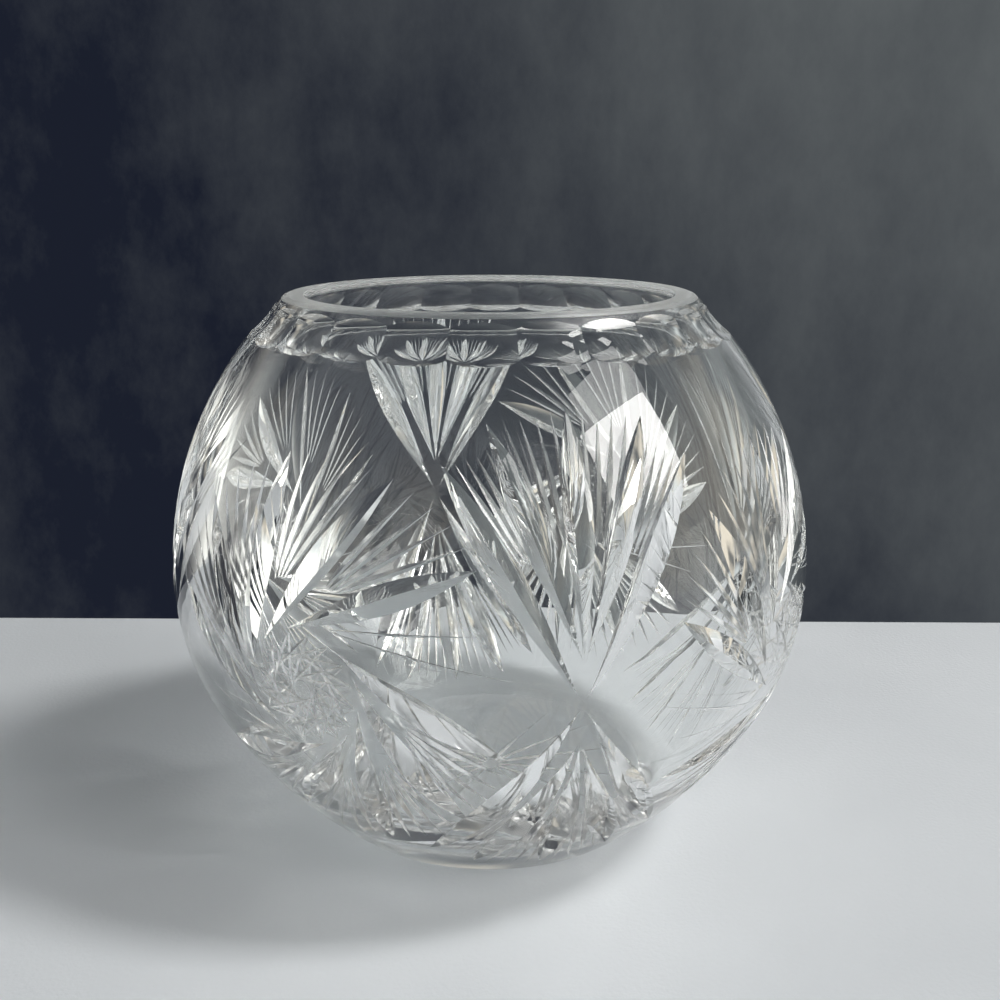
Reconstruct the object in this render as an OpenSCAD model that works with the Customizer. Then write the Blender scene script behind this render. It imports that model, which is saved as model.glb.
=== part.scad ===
// Rose bowl vase in cut crystal.
// One piece of glass: a round blown blank with a ground flat lip and base, cut by hand with wheels.
// Units are millimetres, +Z is up, and the origin is the centre of the base.
// The front, -Y, looks at the waist of one of the four hourglass motifs.

/* [Bowl] */
// Widest outer diameter
bowl_diameter = 150; // [138:1:162]
// Height from the base to the lip
bowl_height = 126; // [118:1:134]
// Height of the widest place
belly_height = 62; // [58:1:66]
// Outer diameter of the flat base
base_diameter = 79; // [72:1:86]
// Outer diameter of the lip
lip_diameter = 93.5; // [86:1:100]
// Radius of the rounding just below the widest place
belly_radius = 60; // [56:1:64]
// How far down that rounding runs, in degrees
belly_sweep = 30; // [24:1:34]
// Width of the bevel that the flat base loses at its edge
base_bevel = 0.8; // [0.4:0.1:1.2]

/* [Cavity] */
// Width of the flat ground lip
lip_width = 4.6; // [4:0.2:6]
// Width of the bevel that each edge of the lip loses
lip_bevel = 0.5; // [0.2:0.1:0.8]
// Thickness of the wall at the widest place
wall = 7; // [6.5:0.25:8]
// Thickness of the floor
floor_thickness = 11; // [8:0.5:13]
// Radius of the lower half of the cavity
cavity_radius = 60; // [56:1:64]
// Radius between the cavity's side and its floor
floor_round = 18; // [12:1:22]

/* [Neck flutes] */
// Number of scooped flutes round the neck
flute_count = 24; // [16:1:28]
// Radius of the round stone that scoops them
flute_radius = 26; // [22:1:30]
// Depth of a flute
flute_depth = 1.2; // [0.8:0.1:1.4]
// How far below the lip the middle of a flute lies
flute_drop = 6; // [5:0.5:9]

/* [Cut motifs] */
// Number of hourglass fans, and of pinwheels between them
motif_count = 4; // [3:1:4]
// Elevation of the motifs' centres, seen from the middle of the belly, in degrees
motif_elevation = -5; // [-8:1:-2]

/* [Pinwheels] */
// How far round a pinwheel lies from the fan on its left, in degrees
pinwheel_offset = 47; // [44:1:48]
// Radius of the hub that the leaves touch, in degrees of the belly
hub_radius = 9.5; // [8:0.5:11]
// Leaves in the upper half, and as many in the lower half
leaves_per_half = 5; // [4:1:5]
// Angle between two leaves, in degrees
leaf_step = 31; // [29:1:32]
// Direction of the first leaf's tip, in degrees
leaf_start = 37.5; // [34:0.5:41]
// Reach of the level leaves from the hub's centre, in degrees
leaf_reach = 31; // [28:1:33]
// How much further the upright leaves reach, in degrees
leaf_extra_reach = 5; // [2:1:6]
// Start of a leaf past the place where it touches the hub, in degrees
leaf_root = 3; // [2:0.5:5]
// Width of a pinwheel leaf
leaf_width = 5.4; // [4:0.2:6]

/* [Hourglass fans] */
// Half angle of the X that crosses at the waist, in degrees
cross_angle = 29; // [26:1:31]
// Start of the cross's leaves from the waist, in degrees of the belly
cross_root = 6; // [5:0.5:8]
// Upper reach of the cross, in degrees of the belly
cross_reach_up = 41; // [37:1:42]
// Lower reach of the cross, in degrees of the belly
cross_reach_down = 45; // [41:1:46]
// Distance from the waist to the point where the inner leaves meet, in degrees
apex_rise = 6.3; // [5:0.1:8]
// Inner leaves in each fan
inner_leaves = 3; // [2:1:3]
// Angle between the inner leaves, in degrees
inner_step = 19; // [17:1:20]
// Start of the inner leaves from where they meet, in degrees
inner_root = 5; // [4:0.5:8]
// Upper reach of the inner leaves from where they meet, in degrees
inner_reach_up = 37.5; // [34:0.5:39]
// Lower reach of the inner leaves from where they meet, in degrees
inner_reach_down = 40; // [36:0.5:41]
// Width of the upper leaves
fan_width = 5.8; // [4.4:0.2:6.4]
// Width of the lower leaves
lower_fan_width = 6.6; // [5:0.2:7.2]

/* [Base star] */
// Rays of the star under the base
star_rays = 16; // [12:2:20]
// Radius of the star
star_radius = 33; // [26:1:34]
// Radius of the plain spot in the middle of the star
star_hollow = 2; // [1:0.5:4]
// Width of a ray
star_width = 4.2; // [3:0.2:5]
// Depth of a ray
star_depth = 1.2; // [0.8:0.1:1.6]

/* [Hidden] */
$fn = 144;
// Small overlap of faces that meet, and how far cutters stand clear of the glass
tiny = 0.01;
over = 1;
glass = [0.84, 0.90, 0.91, 0.45];
full_turn = 360;
half_turn = 180;
R = bowl_diameter / 2;
rise = bowl_height - belly_height;

// Outer profile: three arcs that run into each other without a corner
shoulder_in = R - lip_diameter / 2;
shoulder_radius = (shoulder_in ^ 2 + rise ^ 2) / (2 * shoulder_in);
shoulder_x = R - shoulder_radius;
belly_x = R - belly_radius;
sweep_dir = [cos(belly_sweep), -sin(belly_sweep)];
joint_point = [belly_x, belly_height] + belly_radius * sweep_dir;
base_point = [base_diameter / 2, 0];
base_run = base_point - joint_point;
flank_radius = -(base_run * base_run) / (2 * (base_run * sweep_dir));
flank_centre = joint_point - flank_radius * sweep_dir;
// The outer bevels slope half as much as the arcs they run into
lip_lean = acos(rise / shoulder_radius) / 2;
base_lean = acos(flank_centre[1] / flank_radius) / 2;

// Cavity profile: two arcs and a round corner on a flat floor
cavity_wide = R - wall;
cavity_mouth = lip_diameter / 2 - lip_width;
cavity_in = cavity_wide - cavity_mouth;
cavity_shoulder_radius = (cavity_in ^ 2 + rise ^ 2) / (2 * cavity_in);
cavity_x = cavity_wide - cavity_radius;
corner_z = floor_thickness + floor_round;
corner_reach = cavity_radius - floor_round;
corner_x = cavity_x + sqrt(corner_reach ^ 2 - (belly_height - corner_z) ^ 2);
corner_dir = [corner_x - cavity_x, corner_z - belly_height] / corner_reach;
corner_meet = [corner_x, corner_z] + floor_round * corner_dir;

// Distance from the middle of the belly to an arc of the outer profile, at elevation e
function arc_reach(x, z, r, e) = x * cos(e) + z * sin(e) + sqrt(r ^ 2 - (x * sin(e) - z * cos(e)) ^ 2);
joint_elevation = atan2(joint_point[1] - belly_height, joint_point[0]);
function reach(e) =
    e >= 0 ? arc_reach(shoulder_x, 0, shoulder_radius, e)
    : e >= joint_elevation ? arc_reach(belly_x, 0, belly_radius, e)
    : arc_reach(flank_centre[0], flank_centre[1] - belly_height, flank_radius, e);
function on_glass(dir) = [0, 0, belly_height] + dir * reach(asin(dir[2]));

// Direction at the polar place (r, phi) about a motif's centre, all in degrees
function outward(az, el) = [sin(az) * cos(el), -cos(az) * cos(el), sin(el)];
function east(az) = [cos(az), sin(az), 0];
function north(az, el) = [-sin(az) * sin(el), cos(az) * sin(el), cos(el)];
function polar(az, el, r, phi) =
    cos(r) * outward(az, el) + sin(r) * (cos(phi) * east(az) + sin(phi) * north(az, el));
function unit(v) = v / norm(v);

// Region of a disc between two heights, right of the axis
module arc_band(centre, r, low, high) {
    intersection() {
        translate(centre) circle(r);
        translate([0, low]) square([2 * R, high - low]);
    }
}

// Half section of the solid blank
module blank_profile() {
    difference() {
        union() {
            arc_band([shoulder_x, belly_height], shoulder_radius, belly_height, bowl_height);
            arc_band([belly_x, belly_height], belly_radius, joint_point[1], belly_height);
            arc_band(flank_centre, flank_radius, 0, joint_point[1]);
        }
        translate([lip_diameter / 2 - lip_bevel, bowl_height]) rotate(-lip_lean) square([R, over]);
        translate([base_diameter / 2 - base_bevel, 0]) rotate(base_lean) translate([0, -over])
            square([R, over]);
    }
}

// Half section of the cavity, running out above the lip
module cavity_profile() {
    arc_band([cavity_wide - cavity_shoulder_radius, belly_height], cavity_shoulder_radius,
        belly_height, bowl_height);
    arc_band([cavity_x, belly_height], cavity_radius, corner_meet[1], belly_height);
    intersection() {
        translate([corner_x, corner_z]) circle(floor_round);
        translate([corner_x, 0]) square([2 * R, corner_meet[1]]);
    }
    translate([0, floor_thickness]) square([corner_x, corner_meet[1] - floor_thickness]);
    translate([0, bowl_height - tiny]) square([cavity_mouth, over]);
    translate([cavity_mouth, bowl_height]) rotate(45) square(lip_bevel * sqrt(2), center = true);
}

// Mitre cut whose bottom edge is the straight line from point a to point b on the glass.
// The bulge of the glass over that line gives its depth, and the outline is an almond of the given width.
module mitre_cut(a, b, width) {
    run = b - a;
    along = unit(run);
    middle = (a + b) / 2;
    lift = on_glass(unit(middle - [0, 0, belly_height])) - middle;
    bulge = lift - (lift * along) * along;
    out = unit(bulge);
    side = cross(along, out);
    height = norm(bulge) + over;
    half_width = width / 2 * height / norm(bulge);
    start = a - over * along;
    multmatrix([
        [side[0], out[0], along[0], start[0]],
        [side[1], out[1], along[1], start[1]],
        [side[2], out[2], along[2], start[2]],
        [0, 0, 0, 1]
    ])
        linear_extrude(norm(run) + 2 * over)
            polygon([[0, 0], [half_width, height], [-half_width, height]]);
}

// Place on the glass, s degrees along the line that leaves the hub of the pinwheel sideways at angle phi
function whirl(az, phi, s) =
    on_glass(polar(az, motif_elevation, acos(cos(hub_radius) * cos(s)), phi - atan2(tan(s), sin(hub_radius))));

// Leaves whose lines all touch the hub
module pinwheel(az) {
    for (half = [0, half_turn], i = [0 : leaves_per_half - 1]) {
        tip = leaf_start + i * leaf_step + half;
        far_end = leaf_reach + leaf_extra_reach * abs(sin(tip));
        touch = tip + acos(tan(hub_radius) / tan(far_end));
        tip_run = acos(cos(far_end) / cos(hub_radius));
        mitre_cut(whirl(az, touch, leaf_root), whirl(az, touch, tip_run), leaf_width);
    }
}

// Fan of leaves on one side of the waist: side is 1 above it and -1 below it
module fan(az, side, cross_reach, inner_reach, width) {
    for (lean = [-1, 1]) {
        phi = side * 90 + lean * cross_angle;
        mitre_cut(on_glass(polar(az, motif_elevation, cross_root, phi)),
            on_glass(polar(az, motif_elevation, cross_reach, phi)), width);
    }
    apex = motif_elevation + side * apex_rise;
    for (i = [0 : inner_leaves - 1]) {
        phi = side * 90 + (i - (inner_leaves - 1) / 2) * inner_step;
        mitre_cut(on_glass(polar(az, apex, inner_root, phi)),
            on_glass(polar(az, apex, inner_reach, phi)), width);
    }
}

// Scooped flutes below the lip
module flutes() {
    drop = rise - flute_drop;
    at = [shoulder_x + sqrt(shoulder_radius ^ 2 - drop ^ 2), belly_height + drop];
    out = unit(at - [shoulder_x, belly_height]);
    centre = at + (flute_radius - flute_depth) * out;
    for (i = [0 : flute_count - 1])
        rotate([0, 0, i * full_turn / flute_count]) translate([centre[0], 0, centre[1]])
            sphere(flute_radius);
}

// Mitred rays under the base, deepest beside the plain spot in the middle
module base_star() {
    length = star_radius - star_hollow;
    slope = atan2(star_depth, length);
    drop = star_depth + over;
    half_drop = drop * star_width / 2 / star_depth;
    for (i = [0 : star_rays - 1])
        rotate([0, 0, i * full_turn / star_rays]) translate([star_radius, 0, 0])
            rotate([0, slope, 0]) rotate([90, 0, -90]) translate([0, 0, -over])
                linear_extrude(length + over) polygon([[0, 0], [-half_drop, -drop], [half_drop, -drop]]);
}

// The whole bowl: one piece of clear crystal
module crystal_bowl() {
    color(glass)
        difference() {
            rotate_extrude() blank_profile();
            rotate_extrude() cavity_profile();
            flutes();
            for (i = [0 : motif_count - 1]) {
                turn = i * full_turn / motif_count;
                pinwheel(turn + pinwheel_offset);
                fan(turn, 1, cross_reach_up, inner_reach_up, fan_width);
                fan(turn, -1, cross_reach_down, inner_reach_down, lower_fan_width);
            }
            base_star();
        }
}

crystal_bowl();
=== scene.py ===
"""Rose bowl vase of clear cut crystal, standing on a pale table in soft window light.

The bowl is one piece of glass. Its blank is turned from an outline of tangent arcs, and every
scoop, leaf, fine line and hub chord is then taken out of it by a cutter of the shape that the
stone or wheel leaves. All lengths are metres, +Z is up, and the origin is the centre of the base.
"""

from __future__ import annotations

import logging
import math
from dataclasses import dataclass, field
from enum import Enum
from typing import Any, Iterable, Mapping, Sequence, Union

import bpy
import numpy as np
from mathutils import Matrix, Vector

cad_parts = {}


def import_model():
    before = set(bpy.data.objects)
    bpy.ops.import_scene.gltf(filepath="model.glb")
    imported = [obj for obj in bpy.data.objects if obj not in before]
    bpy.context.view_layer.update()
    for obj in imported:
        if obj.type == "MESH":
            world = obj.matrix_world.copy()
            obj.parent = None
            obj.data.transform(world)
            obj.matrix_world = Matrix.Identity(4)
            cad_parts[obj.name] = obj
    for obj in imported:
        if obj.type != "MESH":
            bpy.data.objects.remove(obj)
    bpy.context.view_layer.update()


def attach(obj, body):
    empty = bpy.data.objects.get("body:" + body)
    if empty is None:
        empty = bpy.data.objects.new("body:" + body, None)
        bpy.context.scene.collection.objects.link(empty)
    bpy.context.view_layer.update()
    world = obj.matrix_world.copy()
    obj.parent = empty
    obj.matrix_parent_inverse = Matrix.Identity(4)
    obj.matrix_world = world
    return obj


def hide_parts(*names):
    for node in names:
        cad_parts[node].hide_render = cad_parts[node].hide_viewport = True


LOG = logging.getLogger("rose_bowl")
MM = 0.001
Array = np.ndarray
Pair = tuple[float, float]
Colour = tuple[float, float, float]


class Skin(Enum):
    """What made a face of the glass. The value is its material index while the bowl is cut."""

    OUTSIDE = 0
    FLAT = 1
    INSIDE = 2
    WALL = 3
    SCOOP = 4
    LINE = 5


@dataclass(frozen=True)
class Patch:
    """A closed surface: its points, and its faces and their skins by number of corners."""

    points: Array
    faces: tuple[Array, ...]
    skins: tuple[Array, ...]

    def turned(self, angle: float) -> Patch:
        """The same surface turned about the bowl's axis by an angle in degrees."""
        c, s = math.cos(math.radians(angle)), math.sin(math.radians(angle))
        turn = np.array([[c, -s, 0.0], [s, c, 0.0], [0.0, 0.0, 1.0]])
        return Patch(self.points @ turn.T, self.faces, self.skins)

    def to_object(self, name: str) -> bpy.types.Object:
        """Puts the surface into a new mesh object at the origin, with one material slot for each skin."""
        corners = np.concatenate([f.ravel() for f in self.faces]).astype(np.int32)
        sizes = np.concatenate([np.full(len(f), f.shape[1]) for f in self.faces])
        starts = np.concatenate([[0], np.cumsum(sizes)[:-1]]).astype(np.int32)
        mesh = bpy.data.meshes.new(name)
        mesh.vertices.add(len(self.points))
        mesh.vertices.foreach_set("co", self.points.astype(np.float32).ravel())
        mesh.loops.add(len(corners))
        mesh.loops.foreach_set("vertex_index", corners)
        mesh.polygons.add(len(sizes))
        mesh.polygons.foreach_set("loop_start", starts)
        for skin in Skin:
            slot = bpy.data.materials.get(skin.name) or bpy.data.materials.new(skin.name)
            mesh.materials.append(slot)
        mesh.polygons.foreach_set("material_index", np.concatenate(self.skins).astype(np.int32))
        mesh.update(calc_edges=True)
        mesh.validate()
        return placed(name, mesh)


def placed(name: str, data: bpy.types.ID) -> bpy.types.Object:
    """A new object with this data, linked to the scene."""
    made = bpy.data.objects.new(name, data)
    bpy.context.scene.collection.objects.link(made)
    return made


def joined(patches: Sequence[Patch]) -> Patch:
    """One patch of several that don't touch and whose face arrays have the same numbers of corners."""
    shift = np.cumsum([0] + [len(p.points) for p in patches[:-1]])
    kinds = range(len(patches[0].faces))
    faces = tuple(np.concatenate([p.faces[k] + s for p, s in zip(patches, shift)]) for k in kinds)
    skins = tuple(np.concatenate([p.skins[k] for p in patches]) for k in kinds)
    return Patch(np.concatenate([p.points for p in patches]), faces, skins)


@dataclass(frozen=True)
class Arc:
    """An arc of the outline in the half plane through the axis: centre (x, z) and radius."""

    x: float
    z: float
    radius: float

    def across(self, z: Array) -> Array:
        """Distance from the axis at height z: centre plus the root of radius squared less rise squared."""
        return self.x + np.sqrt(np.maximum(self.radius**2 - (z - self.z) ** 2, 0.0))

    def between(self, low: float, high: float, step: float) -> Array:
        """Points of the right half from height low to height high, at most a step apart.

        They are rows of distance from the axis and height, at even angles about the centre.
        """
        first = math.asin((low - self.z) / self.radius)
        last = math.asin((high - self.z) / self.radius)
        count = max(2, math.ceil(abs(last - first) * self.radius / step) + 1)
        angle = np.linspace(first, last, count)
        return np.column_stack([self.x + self.radius * np.cos(angle), self.z + self.radius * np.sin(angle)])

    def reach(self, belly: float, elevation: Array) -> Array:
        """Distance from the middle of the belly to the arc along a direction.

        The line from the belly's middle at the elevation meets the circle where the distance is the
        centre's projection on the line plus the root of radius squared less the miss squared.
        """
        rise = self.z - belly
        along = self.x * np.cos(elevation) + rise * np.sin(elevation)
        miss = self.x * np.sin(elevation) - rise * np.cos(elevation)
        return along + np.sqrt(np.maximum(self.radius**2 - miss**2, 0.0))


@dataclass
class Blank:
    """The uncut glass: sizes of its outline, and the surfaces turned from it."""

    radius: float = 75 * MM
    height: float = 126 * MM
    belly: float = 62 * MM
    base_radius: float = 39.5 * MM
    lip_radius: float = 46.75 * MM
    belly_arc: float = 60 * MM
    belly_sweep: float = 30.0
    base_bevel: float = 0.8 * MM
    lip_width: float = 4.6 * MM
    lip_bevel: float = 0.5 * MM
    wall: float = 7 * MM
    floor: float = 11 * MM
    cavity_arc: float = 60 * MM
    corner: float = 18 * MM
    step: float = 1.9 * MM
    inner_step: float = 1.25 * 1.9 * MM
    flat_points: int = 9
    around: int = 208

    def __post_init__(self) -> None:
        """Works the tangent arcs out of the sizes.

        The flank arc leaves the belly arc without a corner and passes the edge of the base.
        """
        self.shoulder_line = self.shoulder(self.radius, self.lip_radius)
        self.belly_line = Arc(self.radius - self.belly_arc, self.belly, self.belly_arc)
        sweep = math.radians(self.belly_sweep)
        down = np.array([math.cos(sweep), -math.sin(sweep)])
        joint = np.array([self.belly_line.x, self.belly]) + self.belly_arc * down
        run = np.array([self.base_radius, 0.0]) - joint
        flank = -float(run @ run) / (2 * float(run @ down))
        centre = joint - flank * down
        self.flank_line = Arc(*centre.tolist(), flank)
        self.joint = float(joint[1])
        inside = self.radius - self.wall
        self.cavity_shoulder = self.shoulder(inside, self.lip_radius - self.lip_width)
        self.cavity_side = Arc(inside - self.cavity_arc, self.belly, self.cavity_arc)
        low = self.floor + self.corner
        reach = self.cavity_arc - self.corner
        corner_x = self.cavity_side.x + math.sqrt(reach**2 - (self.belly - low) ** 2)
        self.cavity_corner = Arc(corner_x, low, self.corner)
        self.corner_top = low + self.corner * (low - self.belly) / reach

    def shoulder(self, widest: float, top: float) -> Arc:
        """An arc that is upright where the belly is widest and passes the lip's height at distance top.

        Its radius is (inset squared plus rise squared) over twice the inset.
        """
        rise, inset = self.height - self.belly, widest - top
        radius = (inset**2 + rise**2) / (2 * inset)
        return Arc(widest - radius, self.belly, radius)

    def bevel_end(self, start: Array, lean: float, line: Arc) -> Array:
        """Where a bevel that leans by some radians meets an arc, from the line and circle equations."""
        way = np.array([math.cos(lean), math.sin(lean)])
        offset = start - np.array([line.x, line.z])
        half = float(offset @ way)
        return start + way * (-half + math.sqrt(half**2 - float(offset @ offset) + line.radius**2))

    def outline(self) -> tuple[Array, Array]:
        """The closed half section, from the middle of the base out, up, over the lip and down inside.

        Returns:
            Points as distance from the axis and height, and the skin of the strip after each point.
        """
        base_lean = math.acos(self.flank_line.z / self.flank_line.radius) / 2
        lip_lean = math.acos((self.height - self.belly) / self.shoulder_line.radius) / 2
        foot = np.array([self.base_radius - self.base_bevel, 0.0])
        rim = np.array([self.lip_radius - self.lip_bevel, self.height])
        foot_end = self.bevel_end(foot, base_lean, self.flank_line)
        rim_end = self.bevel_end(rim, -lip_lean, self.shoulder_line)
        mouth = self.lip_radius - self.lip_width
        edge = np.array([mouth + self.lip_bevel, self.height])
        reach = np.linspace(0.0, 2 * self.lip_bevel, 2001)
        walk = edge + reach[:, None] * (np.array([-1.0, -1.0]) / math.sqrt(2))
        edge_end = walk[walk[:, 0] >= self.cavity_shoulder.across(walk[:, 1])][-1]
        count = self.flat_points
        step, inner = self.step, self.inner_step
        base = np.column_stack([np.linspace(0.0, foot[0], count), np.zeros(count)])
        corner = self.cavity_corner.between(self.corner_top, self.floor, inner)[1:]
        floor = np.column_stack([np.linspace(corner[-1, 0], 0.0, count), np.full(count, self.floor)])[1:]
        runs = [
            (base, Skin.FLAT),
            (np.linspace(foot, foot_end, 3)[1:], Skin.FLAT),
            (self.flank_line.between(foot_end[1], self.joint, step)[1:], Skin.OUTSIDE),
            (self.belly_line.between(self.joint, self.belly, step)[1:], Skin.OUTSIDE),
            (self.shoulder_line.between(self.belly, rim_end[1], step)[1:], Skin.OUTSIDE),
            (np.linspace(rim_end, rim, 3)[1:], Skin.FLAT),
            (np.linspace(rim, edge, 5)[1:], Skin.FLAT),
            (np.linspace(edge, edge_end, 3)[1:], Skin.FLAT),
            (self.cavity_shoulder.between(edge_end[1], self.belly, inner)[1:], Skin.INSIDE),
            (self.cavity_side.between(self.belly, self.corner_top, inner)[1:], Skin.INSIDE),
            (corner, Skin.INSIDE),
            (floor, Skin.FLAT),
        ]
        points = np.concatenate([run for run, _ in runs])
        skins = np.concatenate([np.full(len(run), skin.value) for run, skin in runs])[1:]
        return points, skins

    def turn(self) -> Patch:
        """Turns the outline about the axis: a ring of even angles for each point, and a pole at each end."""
        section, skins = self.outline()
        rings = section[1:-1]
        angle = np.linspace(0.0, 2 * math.pi, self.around, endpoint=False)
        x = rings[:, None, 0] * np.cos(angle)
        y = rings[:, None, 0] * np.sin(angle)
        z = np.broadcast_to(rings[:, None, 1], x.shape)
        body = np.stack([x, y, z], axis=-1).reshape(-1, 3)
        poles = np.array([[0.0, 0.0, section[0, 1]], [0.0, 0.0, section[-1, 1]]])
        points = np.concatenate([body, poles])
        spot = np.arange(self.around)
        after = (spot + 1) % self.around
        row = (np.arange(len(rings) - 1) * self.around)[:, None]
        above = row + self.around
        quads = np.stack([row + spot, row + after, above + after, above + spot], -1)
        first, last = len(body), len(body) + 1
        end = (len(rings) - 1) * self.around
        bottom = np.column_stack([np.full(self.around, first), after, spot])
        top = np.column_stack([np.full(self.around, last), end + spot, end + after])
        quad_skins = np.repeat(skins[1:-1], self.around)
        cap_skins = np.full(2 * self.around, Skin.FLAT.value)
        faces = (quads.reshape(-1, 4), np.concatenate([bottom, top]))
        return Patch(points, faces, (quad_skins, cap_skins))

    def reach(self, elevation: Array) -> Array:
        """Distance from the middle of the belly to the outside along an elevation in radians."""
        joint = math.atan2(self.joint - self.belly, self.flank_line.across(np.array(self.joint)))
        above = self.shoulder_line.reach(self.belly, elevation)
        below = self.belly_line.reach(self.belly, elevation)
        flank = self.flank_line.reach(self.belly, elevation)
        return np.where(elevation >= 0, above, np.where(elevation >= joint, below, flank))

    def on_glass(self, ways: Array) -> Array:
        """Points of the outside that lie along unit directions from the middle of the belly."""
        reach = self.reach(np.arcsin(np.clip(ways[..., 2], -1, 1)))
        return ways * reach[..., None] + np.array([0.0, 0.0, self.belly])

    def outside_normals(self, points: Array) -> Array:
        """Unit normals of the outside at points on it: away from the centre of the arc at that height."""
        lines = (self.flank_line, self.belly_line, self.shoulder_line)
        return self.arc_normals(points, lines, (self.joint, self.belly))

    def inside_normals(self, points: Array) -> Array:
        """Unit normals of the cavity at points on it: towards the centre of the arc at that height."""
        lines = (self.cavity_corner, self.cavity_side, self.cavity_shoulder)
        return -self.arc_normals(points, lines, (self.corner_top, self.belly))

    @staticmethod
    def arc_normals(points: Array, lines: Sequence[Arc], heights: Sequence[float]) -> Array:
        """Unit vectors away from the centres of arcs that follow each other upwards from these heights on."""
        across = np.hypot(points[:, 0], points[:, 1])
        which = np.searchsorted(np.array(heights), points[:, 2])
        centre_x = np.array([line.x for line in lines])[which]
        centre_z = np.array([line.z for line in lines])[which]
        out, up = across - centre_x, points[:, 2] - centre_z
        flat = np.maximum(across, 1e-9)
        normal = np.column_stack([points[:, 0] / flat * out, points[:, 1] / flat * out, up])
        return normal / np.linalg.norm(normal, axis=1, keepdims=True)


@dataclass(frozen=True)
class Wheel:
    """A wheel with a V edge, whose cutters stand clear of the glass by some way.

    The hollow is how far the middle of a leaf's wall is worn into the glass. The leaf power is above
    1, so that a leaf's root is slimmer than its tip, and the line power is below 1, so that a fine
    line runs out slowly. The section is set at the stations.
    """

    clear: float = 1.0 * MM
    deepest: float = 3.3 * MM
    hollow: float = 0.13 * MM
    leaf_stations: int = 27
    line_stations: int = 15
    leaf_power: float = 1.25
    line_power: float = 0.65

    def leaf(self, glass: Blank, start: Array, end: Array, width: float) -> Patch:
        """A mitre cut between two unit directions, with this width in its middle.

        Its full depth is the bulge of the glass over the straight line between the ends, up to the
        wheel's deepest.
        """
        a, b = glass.on_glass(start), glass.on_glass(end)
        along = (b - a) / np.linalg.norm(b - a)
        middle = (a + b) / 2
        rise = middle - np.array([0.0, 0.0, glass.belly])
        lift = glass.on_glass(rise / np.linalg.norm(rise)) - middle
        full = min(float(np.linalg.norm(lift - (lift @ along) * along)), self.deepest)
        share = np.linspace(-0.02, 1.02, self.leaf_stations)
        deep = full * self.swell(share, self.leaf_power)
        return self.sweep(glass, start, end, share, deep, width / (2 * full), self.hollow, Skin.WALL)

    def line(self, glass: Blank, start: Array, end: Array, width: float, depth: float) -> Patch:
        """A fine cut between two unit directions, with a long thin tip at the second."""
        share = np.linspace(-0.03, 1.04, self.line_stations)
        deep = depth * self.swell(share, self.line_power)
        return self.sweep(glass, start, end, share, deep, width / (2 * depth), 0.0, Skin.LINE)

    @staticmethod
    def swell(share: Array, power: float) -> Array:
        """Depths for a depth of 1: the sine of a half turn times the share of the way raised to a power."""
        return np.sin(math.pi * np.sign(share) * np.abs(share) ** power)

    def sweep(
        self, glass: Blank, start: Array, end: Array, share: Array, deep: Array,
        spread: float, hollow: float, skin: Skin,
    ) -> Patch:
        """A bar of V section that follows the glass along a great circle about the middle of the belly.

        A station's direction is the sum of both ends, each times the sine of the angle left to the
        other. The V opens along the normal of the glass, and its half width is its height times the
        spread. A hollow wall has its middle pushed square into the glass, in step with the depth.

        Args:
            glass: The blank that is cut.
            start: Unit direction of its first end.
            end: Unit direction of its other end.
            share: Share of the way at each station.
            deep: Depth at each station.
            spread: Half width for each unit of height.
            hollow: How far the middle of a wall is pushed.
            skin: What its faces are.
        """
        angle = math.acos(min(1.0, max(-1.0, float(start @ end))))
        s, deep = share[:, None], deep[:, None]
        ways = np.sin((1 - s) * angle) * start + np.sin(s * angle) * end
        place = glass.on_glass(ways / np.linalg.norm(ways, axis=1, keepdims=True))
        out = glass.outside_normals(place)
        side = np.cross(np.gradient(place, axis=0), out)
        side /= np.linalg.norm(side, axis=1, keepdims=True)
        low = place - deep * out
        top, reach = low + (deep + self.clear) * out, (deep + self.clear) * spread * side
        right, left = top + reach, top - reach
        corners = [low, right, left]
        if hollow:
            push = hollow * np.maximum(deep, 0.0) / np.max(deep) / math.sqrt(1 + spread**2)
            right_middle = (low + right) / 2 + push * (side - spread * out)
            left_middle = (low + left) / 2 - push * (side + spread * out)
            corners = [low, right_middle, right, left, left_middle]
        return self.bar(np.stack(corners, axis=1), skin)

    @staticmethod
    def bar(points: Array, skin: Skin) -> Patch:
        """A closed bar, from points by station, corner of the section and axis.

        Seen along the bar with the glass below, the corners run from the bottom to the right and round.
        """
        stations, corners = points.shape[:2]
        at = np.arange(stations - 1)[:, None] * corners
        ring = np.arange(corners)
        after = (ring + 1) % corners
        quads = np.stack([at + ring, at + ring + corners, at + after + corners, at + after], axis=-1)
        caps = np.stack([ring, corners * (stations - 1) + (corners - ring) % corners])
        skins = (np.full(quads.size // 4, skin.value), np.full(2, skin.value))
        return Patch(points.reshape(-1, 3), (quads.reshape(-1, 4), caps), skins)


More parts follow.
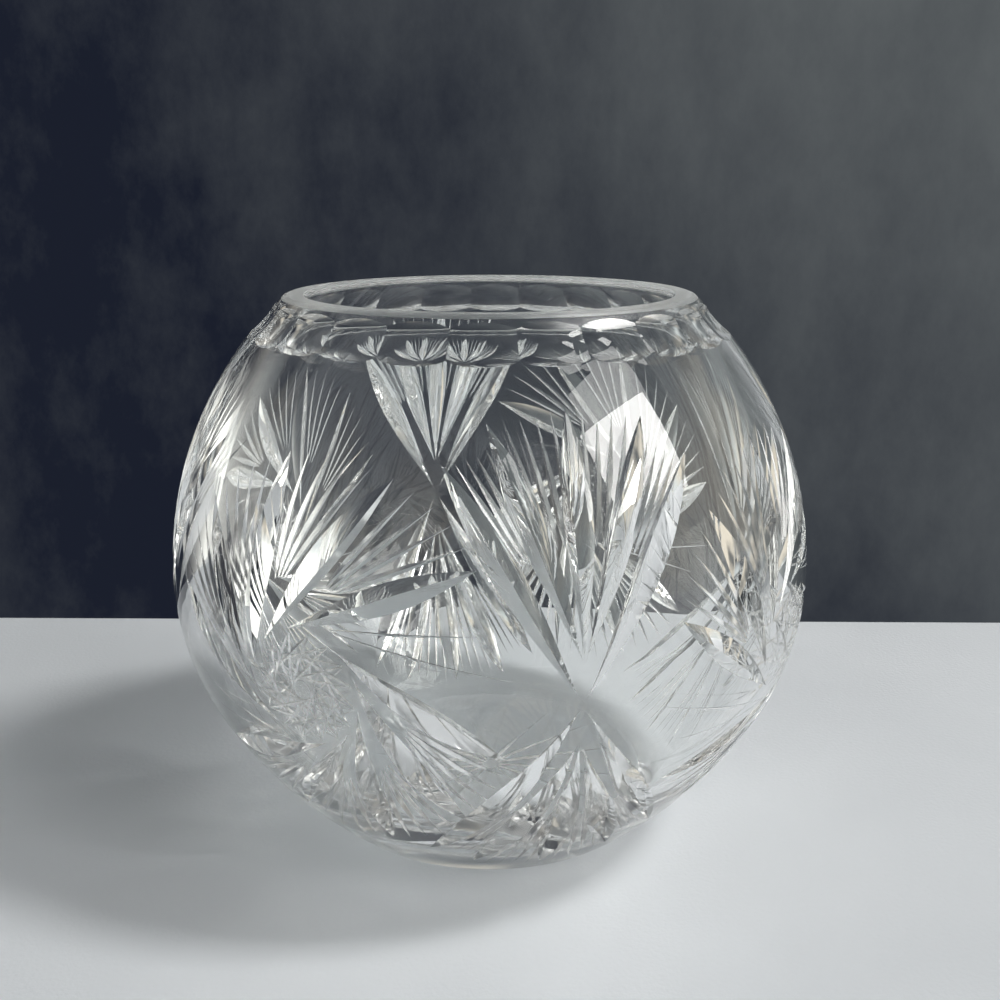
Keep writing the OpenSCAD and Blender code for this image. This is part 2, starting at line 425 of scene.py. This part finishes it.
@dataclass
class Motif:
    """A pattern round a centre on the glass. Angles are degrees, seen from the middle of the belly."""

    turn: float
    tilt: float = -5.0
    lines: int = 4
    line_start: float = 17.0
    line_width: float = 1.5 * MM
    line_depth: float = 0.5 * MM

    def at(self, away: float | Array, heading: Array, lift: float = 0.0) -> Array:
        """Unit directions at distances and headings from the centre, which is lifted by some degrees.

        A direction is cos(away) times outward plus sin(away) times (cos(heading) east plus
        sin(heading) north), where outward, east and north are the axes at the centre. A heading runs
        counterclockwise from the right.
        """
        a, e = math.radians(self.turn), math.radians(self.tilt + lift)
        outward = np.array([math.sin(a) * math.cos(e), -math.cos(a) * math.cos(e), math.sin(e)])
        east = np.array([math.cos(a), math.sin(a), 0.0])
        north = np.array([-math.sin(a) * math.sin(e), math.cos(a) * math.sin(e), math.cos(e)])
        r = np.radians(np.atleast_1d(away))[:, None]
        h = np.radians(np.atleast_1d(heading))[:, None]
        return np.cos(r) * outward + np.sin(r) * (np.cos(h) * east + np.sin(h) * north)

    def shares(self) -> Array:
        """Even shares of the gap between two leaves, one for each fine line."""
        return np.arange(1, self.lines + 1) / (self.lines + 1)


@dataclass
class Pinwheel(Motif):
    """Leaves whose lines all touch a round hub, fine lines fanned between them, and a star in the hub.

    A wide gap lies between the two halves of the motif, and the wide values place two thin lines in it.
    """

    hub: float = 9.5
    per_half: int = 5
    step: float = 31.0
    first: float = 37.5
    reach: float = 31.0
    extra: float = 5.0
    root: float = 1.0
    width: float = 5.8 * MM
    thin_width: float = 0.6 * MM
    thin_depth: float = 0.15 * MM
    spray: float = 10.0
    tip_rise: float = 1.0
    tip_fall: float = 2.5
    wide_shares: Pair = (0.43, 0.70)
    wide_reach: Pair = (34.4, 31.0)
    wide_start: Pair = (1.7, 86.0)
    star_points: int = 16
    star_skips: tuple[int, ...] = (5, 7)
    star_radius: float = 9.3
    star_width: float = 0.9 * MM
    star_depth: float = 0.25 * MM

    def heads(self) -> tuple[Array, Array, Array]:
        """Headings and reaches of the leaves' tips, and the heading where each line touches the hub."""
        half = np.array([0.0, 180.0])[:, None]
        tip = (self.first + self.step * np.arange(self.per_half) + half).ravel()
        far = self.reach + self.extra * np.abs(np.sin(np.radians(tip)))
        touch = tip + np.degrees(np.arccos(math.tan(math.radians(self.hub)) / np.tan(np.radians(far))))
        return tip, far, touch

    def along(self, touch: Array, way: float | Array) -> Array:
        """Directions at some degrees along the lines that leave the hub sideways at headings touch.

        On the sphere the hub's centre, the touching place and the point make a right triangle: the
        cosine of the distance is the product of the cosines of its legs.
        """
        hub, s = math.radians(self.hub), np.radians(way)
        away = np.degrees(np.arccos(math.cos(hub) * np.cos(s)))
        heading = touch - np.degrees(np.arctan2(np.tan(s), math.sin(hub)))
        return self.at(away, heading)

    def leaves(self, glass: Blank, wheel: Wheel) -> list[Patch]:
        """The leaves, each from just past the hub to its tip, as one patch each."""
        _, far, touch = self.heads()
        run = np.degrees(np.arccos(np.cos(np.radians(far)) / math.cos(math.radians(self.hub))))
        start, end = self.along(touch, self.root), self.along(touch, run)
        return [wheel.leaf(glass, a, b, self.width) for a, b in zip(start, end)]

    def rays(self, glass: Blank, wheel: Wheel) -> list[Patch]:
        """Fine lines in every narrow gap between two leaves, and two long thin ones in each wide gap.

        In a narrow gap they start close together between the leaves, where a leaf's line has turned
        back from its touching place by the angle whose cosine is the ratio of the tangents of hub and
        distance. Their tips stand at even shares from tip to tip.
        """
        tip, far, touch = self.heads()
        hub, first = math.radians(self.hub), math.radians(self.line_start)
        back = math.degrees(math.acos(math.tan(hub) / math.tan(first)))
        share = self.shares()
        made = []
        for a in range(len(tip)):
            b = (a + 1) % len(tip)
            gap = (tip[b] - tip[a]) % 360
            if gap > 1.5 * self.step:
                heading, away = tip[a] + gap * np.array(self.wide_shares), np.array(self.wide_reach)
                out, past = self.wide_start
                start = self.at(self.hub + out, np.full(2, tip[a] + past))
                width, depth = self.thin_width, self.thin_depth
            else:
                middle = touch[a] + ((touch[b] - touch[a]) % 360) / 2 - back
                heading = tip[a] + gap * share
                away = far[a] + (far[b] - far[a]) * share + self.tip_rise
                away = away - self.tip_fall * np.abs(share - 0.5)
                root = middle + self.spray * (share - 0.5)
                start = self.at(self.line_start, root)
                width, depth = self.line_width, self.line_depth
            end = self.at(away, heading)
            made += [wheel.line(glass, p, q, width, depth) for p, q in zip(start, end)]
        return made

    def star(self, glass: Blank, wheel: Wheel) -> list[Patch]:
        """Chords of the hub from each point of the star to those some points on."""
        step = 360 / self.star_points
        heading = np.arange(self.star_points) * step + step / 2
        start = self.at(self.star_radius, heading)
        made = []
        for skip in self.star_skips:
            end = self.at(self.star_radius, heading + step * skip)
            made += [wheel.line(glass, a, b, self.star_width, self.star_depth) for a, b in zip(start, end)]
        return made

    def cuts(self, glass: Blank, wheel: Wheel) -> list[Patch]:
        """All cuts of the motif."""
        return self.leaves(glass, wheel) + self.rays(glass, wheel) + self.star(glass, wheel)


@dataclass
class Hourglass(Motif):
    """Two fans of leaves that meet in a waist. Pairs of numbers are for the upper and the lower fan."""

    cross: float = 29.0
    cross_root: float = 1.0
    cross_reach: Pair = (41.0, 45.0)
    apex: float = 6.3
    inner: int = 3
    inner_step: float = 19.0
    inner_root: float = 0.8
    inner_reach: Pair = (37.5, 40.0)
    width: Pair = (5.8 * MM, 6.6 * MM)
    outer_extra: float = 4.0
    tip_fall: float = 1.0
    tip_flare: float = 3.0
    side_fall: float = 3.0

    def leaves(self, glass: Blank, wheel: Wheel, side: int) -> list[Patch]:
        """Leaves of the upper fan for side 1, or the lower for -1: two of the cross, then the inner ones."""
        which = 0 if side > 0 else 1
        width = self.width[which]
        heading = side * 90 + np.array([-1.0, 1.0]) * self.cross
        start = self.at(self.cross_root, heading)
        end = self.at(self.cross_reach[which], heading)
        ends = list(zip(start, end))
        lift = side * self.apex
        heading = side * 90 + (np.arange(self.inner) - (self.inner - 1) / 2) * self.inner_step
        start = self.at(self.inner_root, heading, lift)
        end = self.at(self.inner_reach[which], heading, lift)
        return [wheel.leaf(glass, a, b, width) for a, b in ends + list(zip(start, end))]

    def rays(self, glass: Blank, wheel: Wheel, side: int) -> list[Patch]:
        """Fine lines between the leaves of one fan, all from the apex.

        Seen from the apex, the outer leaves' tips lie at a wider heading than from the waist, so the
        lines' headings are shared out between the leaves' headings as seen from there.
        """
        which = 0 if side > 0 else 1
        inner = (np.arange(self.inner) - (self.inner - 1) / 2) * self.inner_step
        outer = self.cross + self.outer_extra
        heads = np.concatenate([[-outer], inner, [outer]])
        lift = side * self.apex
        share = self.shares()
        made = []
        for first, last in zip(heads[:-1], heads[1:]):
            heading = side * 90 + first + (last - first) * share
            away = self.inner_reach[which] - self.tip_fall + self.tip_flare * np.abs(share - 0.5)
            away = away - self.side_fall * (abs(first + last) > 1.5 * self.inner_step)
            start, end = self.at(self.line_start, heading, lift), self.at(away, heading, lift)
            made += [wheel.line(glass, a, b, self.line_width, self.line_depth) for a, b in zip(start, end)]
        return made

    def cuts(self, glass: Blank, wheel: Wheel) -> list[Patch]:
        """All cuts of the motif, above and below the waist."""
        made = []
        for side in (1, -1):
            made += self.leaves(glass, wheel, side) + self.rays(glass, wheel, side)
        return made


@dataclass(frozen=True)
class NeckFlutes:
    """Tall shallow panels side by side below the lip, with a ridge between each two."""

    count: int = 24
    depth: float = 1.1 * MM
    drop: float = 5.1 * MM
    half_height: float = 5.6 * MM
    half_width: float = 9.0 * MM
    curve: float = 65 * MM
    back: float = 1.8 * MM
    overrun: float = 1.15
    rows: int = 27
    columns: int = 9

    def panel(self, glass: Blank) -> Patch:
        """A block whose inner side has the shape of one panel.

        Its depth below the plane that touches the glass in the panel's middle is the full depth times
        one less the cube of the share of the half height, less the square of the distance sideways
        over twice the curve.
        """
        drop = glass.height - glass.belly - self.drop
        at = np.array([glass.shoulder_line.across(np.array(glass.belly + drop)), 0.0, glass.belly + drop])
        out = glass.outside_normals(at[None])[0]
        side = np.array([0.0, 1.0, 0.0])
        up = np.cross(out, side)
        share = np.linspace(-self.overrun, self.overrun, self.rows)[:, None]
        y = np.linspace(-self.half_width, self.half_width, self.columns)[None, :]
        deep = self.depth * (1 - np.abs(share) ** 3) - y**2 / (2 * self.curve)
        flat = at + y[..., None] * side + (share * self.half_height)[..., None] * up
        front, rear = flat - deep[..., None] * out, flat + self.back * out
        points = np.concatenate([front.reshape(-1, 3), rear.reshape(-1, 3)])
        number = np.arange(self.rows * self.columns).reshape(self.rows, self.columns)
        a, b, c, d = number[:-1, :-1], number[:-1, 1:], number[1:, 1:], number[1:, :-1]
        faces = [np.stack([a, d, c, b], axis=-1).reshape(-1, 4)]
        faces.append(np.stack([a, b, c, d], axis=-1).reshape(-1, 4) + number.size)
        loop = np.concatenate([number[0, :-1], number[:-1, -1], number[-1, :0:-1], number[:0:-1, 0]])
        after = np.roll(loop, -1)
        faces.append(np.column_stack([loop, after, after + number.size, loop + number.size]))
        quads = np.concatenate(faces)
        return Patch(points, (quads,), (np.full(len(quads), Skin.SCOOP.value),))

    def cuts(self, glass: Blank) -> list[Patch]:
        """The panels in three sets, so that no two of a set touch."""
        one = self.panel(glass)
        step = 360 / self.count
        return [joined([one.turned(i * step) for i in range(first, self.count, 3)]) for first in range(3)]


@dataclass(frozen=True)
class BaseStar:
    """Mitred rays under the base, deepest beside a plain spot in the middle."""

    rays: int = 16
    radius: float = 33 * MM
    hollow: float = 2 * MM
    width: float = 3.6 * MM
    depth: float = 0.35 * MM

    def ray(self, clear: float) -> Patch:
        """A wedge whose edge rises from the star's rim to its full depth at the middle."""
        slope = self.depth / (self.radius - self.hollow)
        x = np.array([self.radius + clear, self.hollow])
        deep = (self.radius - x) * slope
        half = (deep + clear) * self.width / (2 * self.depth)
        low = np.full(2, -clear)
        edge = np.column_stack([x, np.zeros(2), deep])
        left, right = np.column_stack([x, half, low]), np.column_stack([x, -half, low])
        return Wheel.bar(np.stack([edge, right, left], axis=1), Skin.SCOOP)

    def cuts(self, clear: float) -> list[Patch]:
        """The rays, each with the one across from it."""
        one = self.ray(clear)
        step = 360 / self.rays
        return [joined([one.turned(i * step), one.turned(i * step + 180)]) for i in range(self.rays // 2)]


Operand = Union["Wire", float, int]


@dataclass(frozen=True)
class Wire:
    """A shader socket that takes part in arithmetic, which adds Math nodes."""

    bench: NodeBench
    socket: bpy.types.NodeSocket

    def math(self, operation: str, *operands: Operand) -> Wire:
        """The result of a Math node on these operands."""
        return self.bench.node("ShaderNodeMath", {"operation": operation}, dict(enumerate(operands)))

    def __add__(self, other: Operand) -> Wire:
        """Sum."""
        return self.math("ADD", self, other)

    def __sub__(self, other: Operand) -> Wire:
        """Difference."""
        return self.math("SUBTRACT", self, other)

    def __rsub__(self, other: Operand) -> Wire:
        """Difference from a number on the left."""
        return self.math("SUBTRACT", other, self)

    def __mul__(self, other: Operand) -> Wire:
        """Product."""
        return self.math("MULTIPLY", self, other)

    def smooth(self, low: float, high: float) -> Wire:
        """0 below low, 1 above high, and a smooth step between them."""
        settings = {"interpolation_type": "SMOOTHSTEP"}
        inputs = {"Value": self, "From Min": low, "From Max": high}
        return self.bench.node("ShaderNodeMapRange", settings, inputs)


@dataclass(frozen=True)
class NodeBench:
    """Where the nodes of one tree are made."""

    tree: bpy.types.NodeTree

    def node(
        self, kind: str, settings: Mapping[str, Any] | None = None,
        inputs: Mapping[str | int, Any] | None = None, output: str | int = 0,
    ) -> Wire:
        """Makes one node.

        Args:
            kind: Type name of the node.
            settings: Its properties, set first.
            inputs: Values or wires for its sockets, by name or number.
            output: Which of its outputs is returned.
        """
        made = self.tree.nodes.new(kind)
        for name, value in (settings or {}).items():
            setattr(made, name, value)
        for name, value in (inputs or {}).items():
            if isinstance(value, Wire):
                self.tree.links.new(value.socket, made.inputs[name])
            else:
                made.inputs[name].default_value = value
        return Wire(self, made.outputs[output])

    def noise(self, place: Wire, scale: float, detail: float, **more: float) -> Wire:
        """The grey value of a noise texture."""
        inputs = {"Vector": place, "Scale": scale, "Detail": detail, **more}
        return self.node("ShaderNodeTexNoise", inputs=inputs)

    def bump(self, height: Wire) -> Wire:
        """A normal bent by a height in metres."""
        return self.node("ShaderNodeBump", inputs={"Strength": 1.0, "Distance": 1.0, "Height": height})

    def show(self, kind: str, shader: Wire) -> None:
        """Ends the tree in an output node of this type."""
        self.tree.links.new(shader.socket, self.tree.nodes.new(kind).inputs["Surface"])

    def mix(self, factor: Operand, first: Any, second: Any) -> Wire:
        """A colour between two colours, by a factor from 0 to 1."""
        return self.node("ShaderNodeMix", {"data_type": "RGBA"}, {0: factor, 6: first, 7: second}, 2)


def fresh_material(name: str) -> tuple[bpy.types.Material, NodeBench]:
    """An empty node material and its bench."""
    material = bpy.data.materials.new(name)
    material.use_nodes = True
    material.node_tree.nodes.clear()
    return material, NodeBench(material.node_tree)


@dataclass(frozen=True)
class CrystalFinish:
    """Polished clear lead crystal.

    Sway is the slow waves of a hand worked blank and chatter the ridges that a wheel leaves, each as
    scale and height. Scratch is the scale of the marks under the foot. Gloss, frost, lip and worn are
    the roughness of the glass, the fine lines, the ground lip and the foot. The bands are the heights
    between which the wear ends and the ground lip starts.
    """

    tint: Colour = (0.985, 0.995, 0.992)
    ior: float = 1.545
    sway: Pair = (26.0, 0.00016)
    chatter: Pair = (330.0, 0.00003)
    scratch: float = 900.0
    gloss: float = 0.004
    frost: float = 0.16
    lip: float = 0.5
    worn: float = 0.22
    foot_band: Pair = (0.1 * MM, 0.6 * MM)
    lip_band: Pair = (125.1 * MM, 125.4 * MM)

    def make(self) -> bpy.types.Material:
        """The material: slow waves, ridges in the cuts, frosted lines and lip, and wear under the foot."""
        material, bench = fresh_material("polished_crystal")
        place = bench.node("ShaderNodeTexCoord", output="Object")
        cut = bench.node("ShaderNodeAttribute", {"attribute_name": "wheel_cut"}, output="Fac")
        line = bench.node("ShaderNodeAttribute", {"attribute_name": "fine_line"}, output="Fac")
        slow = bench.noise(place, self.sway[0], 1.0)
        fine = bench.noise(place, self.chatter[0], 2.0)
        bump = bench.bump(slow * self.sway[1] + cut * (fine * self.chatter[1]))
        level = bench.node("ShaderNodeSeparateXYZ", inputs={0: place}, output="Z")
        scratches = bench.noise(place, self.scratch, 4.0)
        foot = 1 - level.smooth(*self.foot_band)
        ground = level.smooth(*self.lip_band)
        rough = foot * (scratches * self.worn) + line * self.frost + ground * self.lip + self.gloss
        inputs = {"Base Color": (*self.tint, 1.0), "Roughness": rough, "IOR": self.ior}
        inputs.update({"Transmission Weight": 1.0, "Normal": bump})
        bench.show("ShaderNodeOutputMaterial", bench.node("ShaderNodeBsdfPrincipled", inputs=inputs))
        return material


@dataclass(frozen=True)
class TableFinish:
    """Matt pale paint: scale and two colours of its clouds, scale and height of its grain."""

    cloud: float = 9.0
    light: Colour = (0.71, 0.74, 0.775)
    dark: Colour = (0.66, 0.69, 0.725)
    grain: Pair = (900.0, 0.00008)
    rough: float = 0.62

    def make(self) -> bpy.types.Material:
        """The material: two close greys in soft clouds, and a fine grain."""
        material, bench = fresh_material("pale_table")
        place = bench.node("ShaderNodeTexCoord", output="Object")
        cloud = bench.noise(place, self.cloud, 3.0).smooth(0.3, 0.7)
        grain = bench.noise(place, self.grain[0], 3.0)
        colour = bench.mix(cloud, (*self.dark, 1.0), (*self.light, 1.0))
        inputs = {"Base Color": colour, "Roughness": self.rough, "Normal": bench.bump(grain * self.grain[1])}
        bench.show("ShaderNodeOutputMaterial", bench.node("ShaderNodeBsdfPrincipled", inputs=inputs))
        return material


@dataclass(frozen=True)
class RoomFinish:
    """Light from all round: slate behind the table, a pale room, a white wall to the left, a dim ceiling."""

    slate_dark: Colour = (0.011, 0.014, 0.025)
    slate_light: Colour = (0.125, 0.138, 0.142)
    slate_rise: float = 0.8
    slate_band: Pair = (-0.38, 0.8)
    slate_floor: float = 0.03
    slate_edge: Pair = (0.45, 0.7)
    slate_top: Pair = (0.22, 0.4)
    mottle: float = 0.8
    mottle_noise: Pair = (8.0, 9.0)
    stretch: Colour = (1.0, 1.0, 0.6)
    hue_noise: Pair = (1.7, 1.0)
    hue_band: Pair = (0.42, 0.62)
    shade_noise: Pair = (2.6, 3.0)
    shade_band: Pair = (0.40, 0.52)
    cool: Colour = (0.78, 0.83, 0.82)
    warm: Colour = (0.86, 0.78, 0.64)
    dim: Colour = (0.10, 0.11, 0.115)
    white: Colour = (1.6, 1.6, 1.5)
    white_edge: Pair = (0.45, 0.85)
    white_top: Pair = (0.1, 0.3)
    ceiling: Colour = (0.11, 0.12, 0.13)
    ceiling_band: Pair = (0.3, 0.6)

    def make(self, heading: float) -> None:
        """The world for a camera with this heading in degrees.

        The slate is lighter to the right and upwards, and the room wavers between cool and warm and
        between dim and pale. They meet in smooth steps of a direction's share right, ahead or up,
        which the edges, tops and bands set. A noise is given as scale and detail.
        """
        world = bpy.data.worlds.new("room")
        bpy.context.scene.world = world
        world.use_nodes = True
        world.node_tree.nodes.clear()
        bench = NodeBench(world.node_tree)
        way = bench.node("ShaderNodeTexCoord", output="Generated")
        split = bench.node("ShaderNodeSeparateXYZ", inputs={0: way})
        x, y, z = (Wire(bench, split.socket.node.outputs[i]) for i in range(3))
        a = math.radians(heading)
        right = x * math.cos(a) + y * math.sin(a)
        ahead = y * math.cos(a) - x * math.sin(a)
        tall = bench.node("ShaderNodeVectorMath", {"operation": "MULTIPLY"}, {0: way, 1: self.stretch})
        blotch = (bench.noise(tall, *self.mottle_noise, Roughness=0.68) - 0.5) * self.mottle
        slate = (right + z * self.slate_rise).smooth(*self.slate_band) + blotch + self.slate_floor
        wall = bench.mix(slate, (*self.slate_dark, 1.0), (*self.slate_light, 1.0))
        hue = bench.noise(way, *self.hue_noise).smooth(*self.hue_band)
        shade = bench.noise(tall, *self.shade_noise).smooth(*self.shade_band)
        paint = bench.mix(hue, (*self.cool, 1.0), (*self.warm, 1.0))
        dim = bench.mix(shade, (*self.dim, 1.0), paint)
        left = (0 - right).smooth(*self.white_edge) * (1 - z.smooth(*self.white_top))
        pale = bench.mix(left, dim, (*self.white, 1.0))
        high = bench.mix(z.smooth(*self.ceiling_band), pale, (*self.ceiling, 1.0))
        sky = bench.mix(ahead.smooth(*self.slate_edge) * (1 - z.smooth(*self.slate_top)), high, wall)
        bench.show("ShaderNodeOutputWorld", bench.node("ShaderNodeBackground", inputs={"Color": sky}))
        LOG.info("room ready")


def fetched(items: Any, name: str, width: int, kind: type) -> Array:
    """A property of all items as an array, one row for each item where it has more than one number."""
    values = np.zeros(len(items) * width, kind)
    items.foreach_get(name, values)
    return values.reshape(-1, width) if width > 1 else values


@dataclass
class CrystalBowl:
    """The bowl: blank, cuts and finish."""

    glass: Blank = field(default_factory=Blank)
    wheel: Wheel = Wheel()
    motifs: int = 4
    pinwheel_offset: float = 47.0
    flutes: NeckFlutes = NeckFlutes()
    star: BaseStar = BaseStar()
    finish: CrystalFinish = CrystalFinish()
    crease: float = 12.0

    def cutters(self) -> list[Patch]:
        """All cutters, each with its copies round the bowl."""
        patterns = Hourglass(0.0).cuts(self.glass, self.wheel)
        patterns += Pinwheel(self.pinwheel_offset).cuts(self.glass, self.wheel)
        step = 360 / self.motifs
        made = [joined([cut.turned(i * step) for i in range(self.motifs)]) for cut in patterns]
        return made + self.flutes.cuts(self.glass) + self.star.cuts(self.wheel.clear)

    def cut(self) -> bpy.types.Object:
        """Takes every cutter out of the blank. The result has its skins in its material indices."""
        blank = self.glass.turn().to_object("crystal_blank")
        tools = bpy.data.collections.new("cutters")
        cutters = [patch.to_object(f"cutter_{i:03d}") for i, patch in enumerate(self.cutters())]
        for cutter in cutters:
            tools.objects.link(cutter)
        taking = blank.modifiers.new("cutting", "BOOLEAN")
        taking.operation = "DIFFERENCE"
        taking.operand_type = "COLLECTION"
        taking.collection = tools
        taking.solver = "MANIFOLD"
        shape = bpy.data.meshes.new_from_object(blank.evaluated_get(bpy.context.evaluated_depsgraph_get()))
        shape.name = "cut_crystal"
        for used in (*cutters, blank):
            bpy.data.meshes.remove(used.data)
        bpy.data.collections.remove(tools)
        bowl = placed("cut_crystal_bowl", shape)
        LOG.info("bowl cut: %d vertices, %d faces", len(shape.vertices), len(shape.polygons))
        return bowl

    def polish(self, bowl: bpy.types.Object) -> None:
        """Gives the glass its true normals, marks its cuts and sets its material.

        Edges sharper than the crease angle stay sharp, and the turned surfaces take the normals of
        their arcs, so that the mesh doesn't show in what the glass bends and mirrors.
        """
        mesh = bowl.data
        skins = fetched(mesh.polygons, "material_index", 1, np.int32)
        mesh.shade_smooth()
        mesh.set_sharp_from_angle(angle=math.radians(self.crease))
        normals = fetched(mesh.corner_normals, "vector", 3, np.float32).astype(float)
        points = fetched(mesh.vertices, "co", 3, np.float32).astype(float)
        points = points[fetched(mesh.loops, "vertex_index", 1, np.int32)]
        skin_of_corner = np.repeat(skins, fetched(mesh.polygons, "loop_total", 1, np.int32))
        turned = {Skin.OUTSIDE: self.glass.outside_normals, Skin.INSIDE: self.glass.inside_normals}
        for skin, true_normals in turned.items():
            chosen = skin_of_corner == skin.value
            normals[chosen] = true_normals(points[chosen])
        mesh.normals_split_custom_set(normals.tolist())
        for name, skin in (("wheel_cut", Skin.WALL), ("fine_line", Skin.LINE)):
            mark = mesh.attributes.new(name, "FLOAT", "FACE")
            mark.data.foreach_set("value", (skins == skin.value).astype(np.float32))
        mesh.materials.clear()
        mesh.materials.append(self.finish.make())
        mesh.polygons.foreach_set("material_index", np.zeros(len(skins), np.int32))
        mesh.update()
        for skin in Skin:
            LOG.info("  %s: %d faces", skin.name.lower(), int(np.sum(skins == skin.value)))
            bpy.data.materials.remove(bpy.data.materials[skin.name])

    def build(self) -> bpy.types.Object:
        """Makes the bowl and ties it to the frame."""
        bowl = self.cut()
        self.polish(bowl)
        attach(bowl, "root")
        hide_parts("crystal_bowl")
        return bowl


@dataclass(frozen=True)
class Pane:
    """A soft window, with its place and half sizes in degrees as the bowl sees them.

    Its turn runs from the camera towards the camera's right, and hidden names the kinds of rays that
    don't see it.
    """

    name: str
    turn: float
    rise: float
    half: Pair
    glow: float
    away: float = 2.8
    hidden: tuple[str, ...] = ()


@dataclass
class Studio:
    """Table, windows, room and camera. Places are given from the camera's own heading.

    The window's glare is a pane close behind the window that only mirroring surfaces see, because
    the window is much brighter than the table it lights. The high window sets the shadow.
    """

    heading: float = -14.0
    distance: float = 287.0 * MM
    camera_height: float = 153.4 * MM
    aside: float = 2.4 * MM
    pitch: float = 15.07
    roll: float = 0.03
    lens: float = 44.31
    table_back: float = 122 * MM
    table_yaw: float = -0.88
    table_size: Pair = (1.5, 0.75)
    table_thick: float = 30 * MM
    table_gap: float = 0.12 * MM
    table_edge: float = 2 * MM
    aim: float = 60 * MM
    window_colour: Colour = (1.0, 0.985, 0.96)
    panes: tuple[Pane, ...] = (
        Pane("window", 62.0, 32.0, (15.0, 13.0), 4.8),
        Pane("window_glare", 62.0, 32.0, (15.0, 13.0), 7.0, 2.9, ("diffuse", "transmission")),
        Pane("high_window", 81.5, 52.0, (4.5, 6.0), 52.0, hidden=("glossy",)),
    )
    table_finish: TableFinish = TableFinish()
    room: RoomFinish = RoomFinish()

    def spot(self, right: float, deep: float, up: float) -> Vector:
        """A place given as metres to the camera's right, away from it past the axis, and up."""
        a = math.radians(self.heading)
        c, s = math.cos(a), math.sin(a)
        return Vector((right * c - deep * s, right * s + deep * c, up))

    def table(self) -> bpy.types.Object:
        """A slab with softly rounded edges, its far edge behind the bowl and its near edge out of view.

        A hair's gap under the bowl lets light that has passed the glass reach the table below it.
        """
        across, deep = self.table_size
        x = np.array([-1, 1, 1, -1]) * across / 2
        y = np.array([-deep, -deep, 0.0, 0.0])
        rim = np.column_stack([x, y])
        levels = (-self.table_thick, -self.table_gap)
        points = np.concatenate([np.column_stack([rim, np.full(4, level)]) for level in levels])
        quads = np.array([[3, 2, 1, 0], [4, 5, 6, 7], [0, 1, 5, 4], [1, 2, 6, 5], [2, 3, 7, 6], [3, 0, 4, 7]])
        patch = Patch(points, (quads,), (np.zeros(6),))
        table = patch.to_object("table_slab")
        place = Matrix.Translation(self.spot(0.0, self.table_back, 0.0))
        table.data.transform(place @ Matrix.Rotation(math.radians(self.heading + self.table_yaw), 4, "Z"))
        edge = table.modifiers.new("edge", "BEVEL")
        edge.width, edge.segments, edge.limit_method = self.table_edge, 4, "ANGLE"
        table.data.materials.clear()
        table.data.materials.append(self.table_finish.make())
        table.data.shade_smooth()
        table.data.set_sharp_from_angle(angle=math.radians(40))
        LOG.info("table ready")
        return table

    def window(self, pane: Pane) -> None:
        """One soft window, square to the line from the bowl to it."""
        lamp = bpy.data.lights.new(pane.name, "AREA")
        lamp.shape = "RECTANGLE"
        lamp.size, lamp.size_y = (2 * pane.away * math.tan(math.radians(half)) for half in pane.half)
        lamp.energy = pane.glow * math.pi * lamp.size * lamp.size_y
        lamp.color = self.window_colour
        turn, rise = math.radians(pane.turn), math.radians(pane.rise)
        flat = pane.away * math.cos(rise)
        up = pane.away * math.sin(rise) + self.aim
        place = self.spot(flat * math.sin(turn), -flat * math.cos(turn), up)
        made = placed(pane.name, lamp)
        made.location = place
        made.rotation_euler = (Vector((0, 0, self.aim)) - place).to_track_quat("-Z", "Y").to_euler()
        for kind in pane.hidden:
            setattr(made, f"visible_{kind}", False)
        LOG.info("%s ready", pane.name)

    def camera(self) -> None:
        """The camera at the photograph's height, distance and pitch."""
        data = bpy.data.cameras.new("camera")
        data.lens, data.sensor_width, data.clip_start = self.lens, 36.0, 0.01
        made = placed("camera", data)
        made.location = self.spot(self.aside, -self.distance, self.camera_height)
        made.rotation_euler = tuple(math.radians(v) for v in (90 - self.pitch, self.roll, self.heading))
        bpy.context.scene.camera = made
        LOG.info("camera ready")

    def light_paths(self) -> None:
        """Lets light pass the many walls of the glass, and keeps its true contrast."""
        scene = bpy.context.scene
        paths = scene.cycles
        paths.max_bounces, paths.transmission_bounces, paths.glossy_bounces = 28, 28, 16
        paths.diffuse_bounces, paths.transparent_max_bounces = 4, 8
        paths.caustics_reflective = paths.caustics_refractive = True
        paths.blur_glossy = 0.1
        scene.view_settings.view_transform = "Standard"

    def build(self) -> None:
        """Sets the whole stage."""
        self.camera()
        self.table()
        for pane in self.panes:
            self.window(pane)
        self.room.make(self.heading)
        self.light_paths()


def main() -> None:
    """Builds the studio and the bowl, and logs the bowl's vertex and face counts."""
    logging.basicConfig(level=logging.INFO, format="%(name)s: %(message)s")
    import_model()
    Studio().build()
    CrystalBowl().build()


if __name__ == "__main__":
    main()
